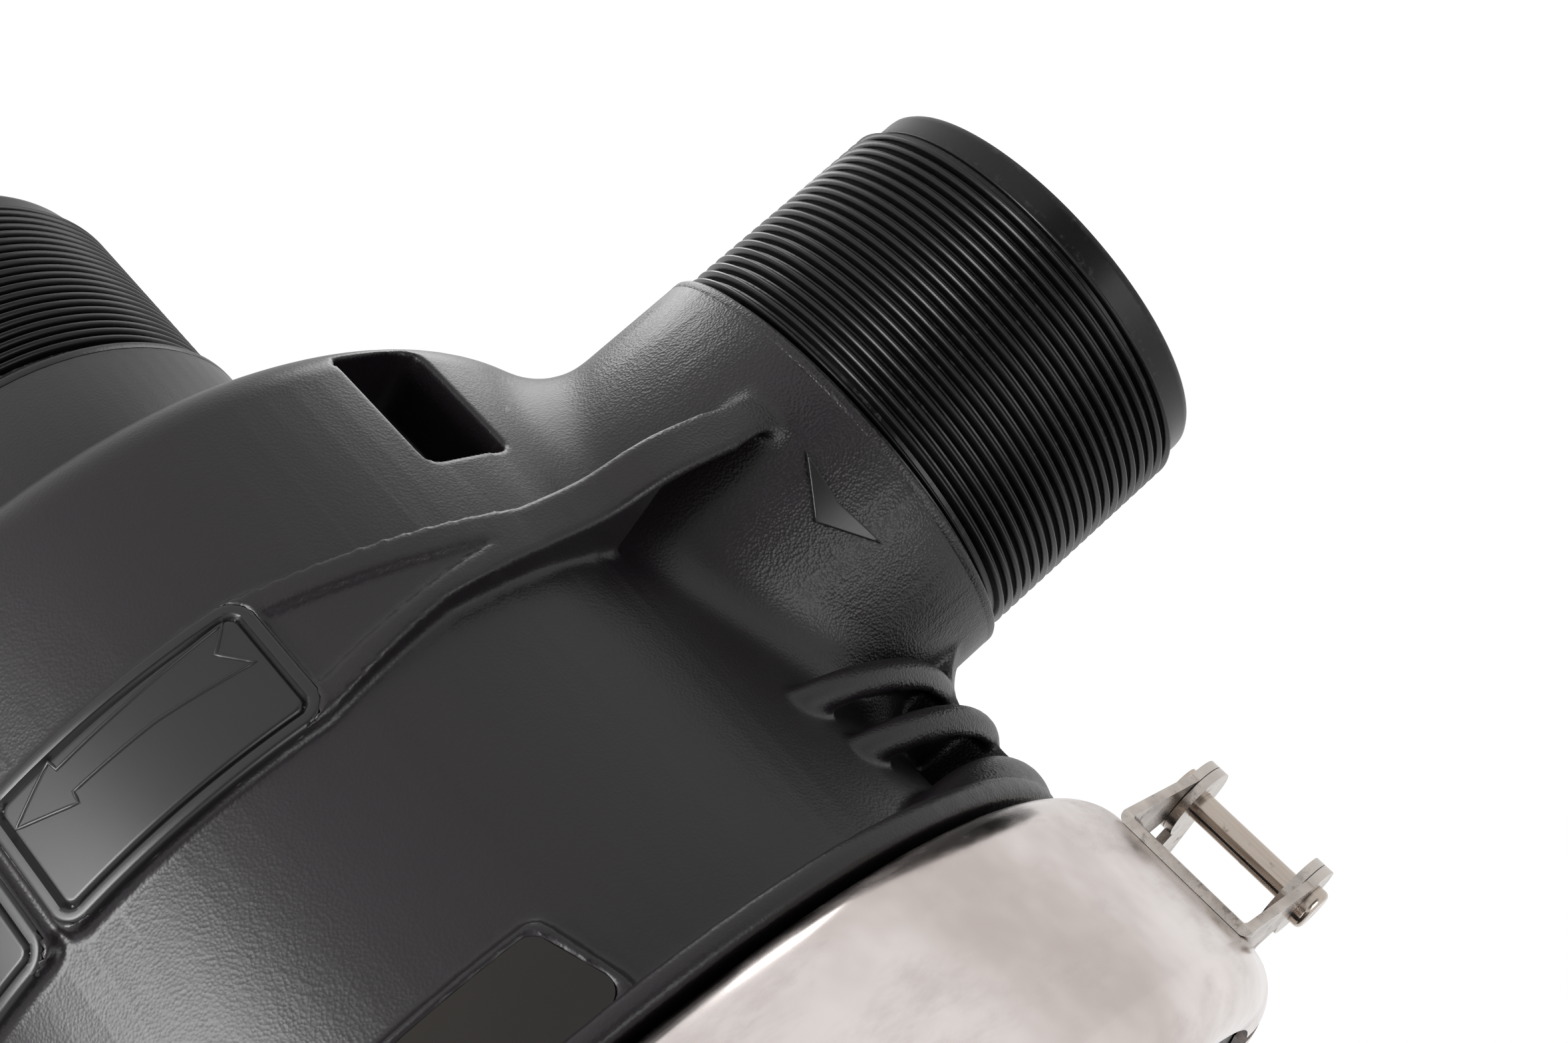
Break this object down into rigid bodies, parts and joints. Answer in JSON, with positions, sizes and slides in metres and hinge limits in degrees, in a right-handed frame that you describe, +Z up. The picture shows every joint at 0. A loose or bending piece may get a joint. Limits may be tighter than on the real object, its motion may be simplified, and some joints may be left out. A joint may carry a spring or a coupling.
{
  "type": "disc filter",
  "caption": "Angle-type inline disc filter: a black moulded housing with threaded side and bottom ports, a tall cover, a hinged steel band clamp with a swing bolt, and a disc element inside.",
  "frame": {"origin": "centre of the bottom port's end face, on the housing's main axis", "axes": "+Z up along the main axis towards the cover; the side port points along -X; the badge and the first panel face -Y"},
  "size_m": [0.3546, 0.2134, 0.541],
  "materials": {
    "body_black": "fine leather grain, satin",
    "badge_gloss": "gloss",
    "seal_rubber": "matte",
    "clamp_steel": "polished stainless sheet",
    "hardware_steel": "plain stainless",
    "element_plastic": "satin",
    "disc_red": "satin"
  },
  "bodies": {
    "housing": {"housing": "body_black", "badge_plate": "badge_gloss", "cover": "body_black", "clamp_front": "clamp_steel", "hinge_bracket_front": "hardware_steel", "hinge_pin": "hardware_steel", "bolt_bracket": "hardware_steel", "bolt_pivot_pin": "hardware_steel", "body_seal": "seal_rubber", "element_base": "element_plastic", "element_spine": "element_plastic", "pressure_plate": "element_plastic", "element_knob": "element_plastic", "disc_pack_1": "disc_red", "disc_pack_2": "disc_red", "disc_pack_3": "disc_red", "disc_pack_4": "disc_red", "disc_pack_5": "disc_red", "disc_pack_6": "disc_red"},
    "clamp_rear": {"clamp_rear": "clamp_steel", "hinge_bracket_rear": "hardware_steel", "lug_bracket": "hardware_steel"},
    "swing_bolt": {"swing_bolt": "hardware_steel"},
    "clamp_washer": {"clamp_washer": "hardware_steel"},
    "clamp_nut": {"clamp_nut": "hardware_steel"},
    "drain_washer": {"drain_washer": "seal_rubber"},
    "drain_plug": {"drain_plug": "element_plastic"}
  },
  "joints": [
    {"name": "clamp_opening", "type": "hinge", "parent": "housing", "child": "clamp_rear", "pos_m": [-0.1206, 0, 0.2645], "axis": [0, 0, 1], "range_deg": [0, 110]},
    {"name": "bolt_swing", "type": "hinge", "parent": "housing", "child": "swing_bolt", "pos_m": [0.1206, -0.014, 0.2645], "axis": [0, 0, 1], "range_deg": [-90, 90]},
    {"name": "washer_travel", "type": "slide", "parent": "swing_bolt", "child": "clamp_washer", "axis": [1, 0, 0], "range_m": [-0.009, 0.009]},
    {"name": "nut_spin", "type": "hinge", "parent": "clamp_washer", "child": "clamp_nut", "pos_m": [0.167, -0.014, 0.2645], "axis": [1, 0, 0], "range_deg": [-2160, 2160]},
    {"name": "drain_washer_travel", "type": "slide", "parent": "housing", "child": "drain_washer", "axis": [0, 0, 1], "range_m": [0, 0.014]},
    {"name": "drain_plug_spin", "type": "hinge", "parent": "drain_washer", "child": "drain_plug", "pos_m": [0, 0, 0.532], "axis": [0, 0, 1], "range_deg": [0, 2770]}
  ],
  "couplings": [
    {"joint": "washer_travel", "follows": "nut_spin", "m_per_rad": 0.0002387},
    {"joint": "drain_washer_travel", "follows": "drain_plug_spin", "m_per_rad": 0.00028871}
  ]
}
